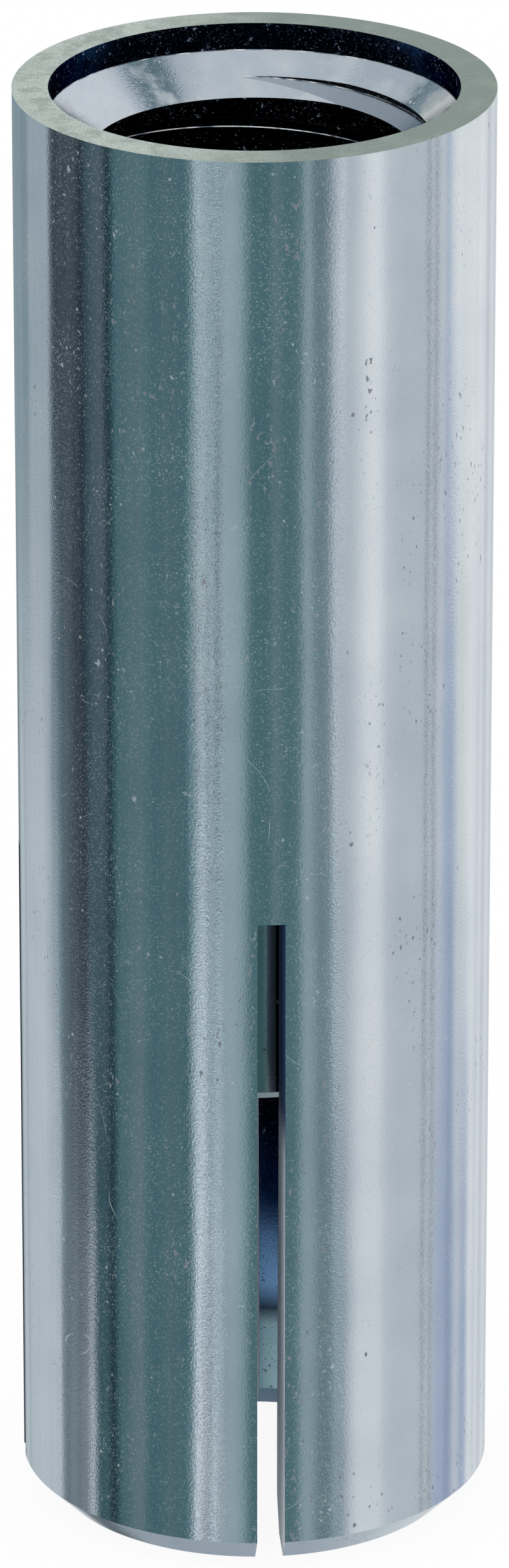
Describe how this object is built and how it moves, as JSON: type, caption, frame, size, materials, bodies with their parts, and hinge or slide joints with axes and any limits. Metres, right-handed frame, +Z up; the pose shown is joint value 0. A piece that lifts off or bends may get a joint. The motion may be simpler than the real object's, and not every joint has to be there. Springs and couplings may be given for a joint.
{
  "type": "drop-in anchor",
  "caption": "Zinc-plated steel drop-in expansion anchor: an internally threaded sleeve with a slotted, tapered lower end and a loose expander plug inside its bore.",
  "frame": {"origin": "centre of the sleeve's bottom face, on the bore's axis, with the anchor standing on its slotted end", "axes": "+Z up the bore towards the threaded mouth; the four slots face +X, -X, +Y and -Y"},
  "size_m": [0.0158, 0.0158, 0.05],
  "materials": {
    "zinc_plated_steel": "bright zinc plating, clear, on a turned steel tube: glossy and fine-grained, with light dust and scratches",
    "bright_steel": "plain bright drawn steel, turned ends"
  },
  "bodies": {
    "sleeve": {"anchor_sleeve": "zinc_plated_steel"},
    "plug": {"expander_plug": "bright_steel"}
  },
  "joints": [
    {"name": "plug_drive", "type": "slide", "parent": "sleeve", "child": "plug", "axis": [0, 0, -1], "range_m": [0, 0.005]}
  ]
}
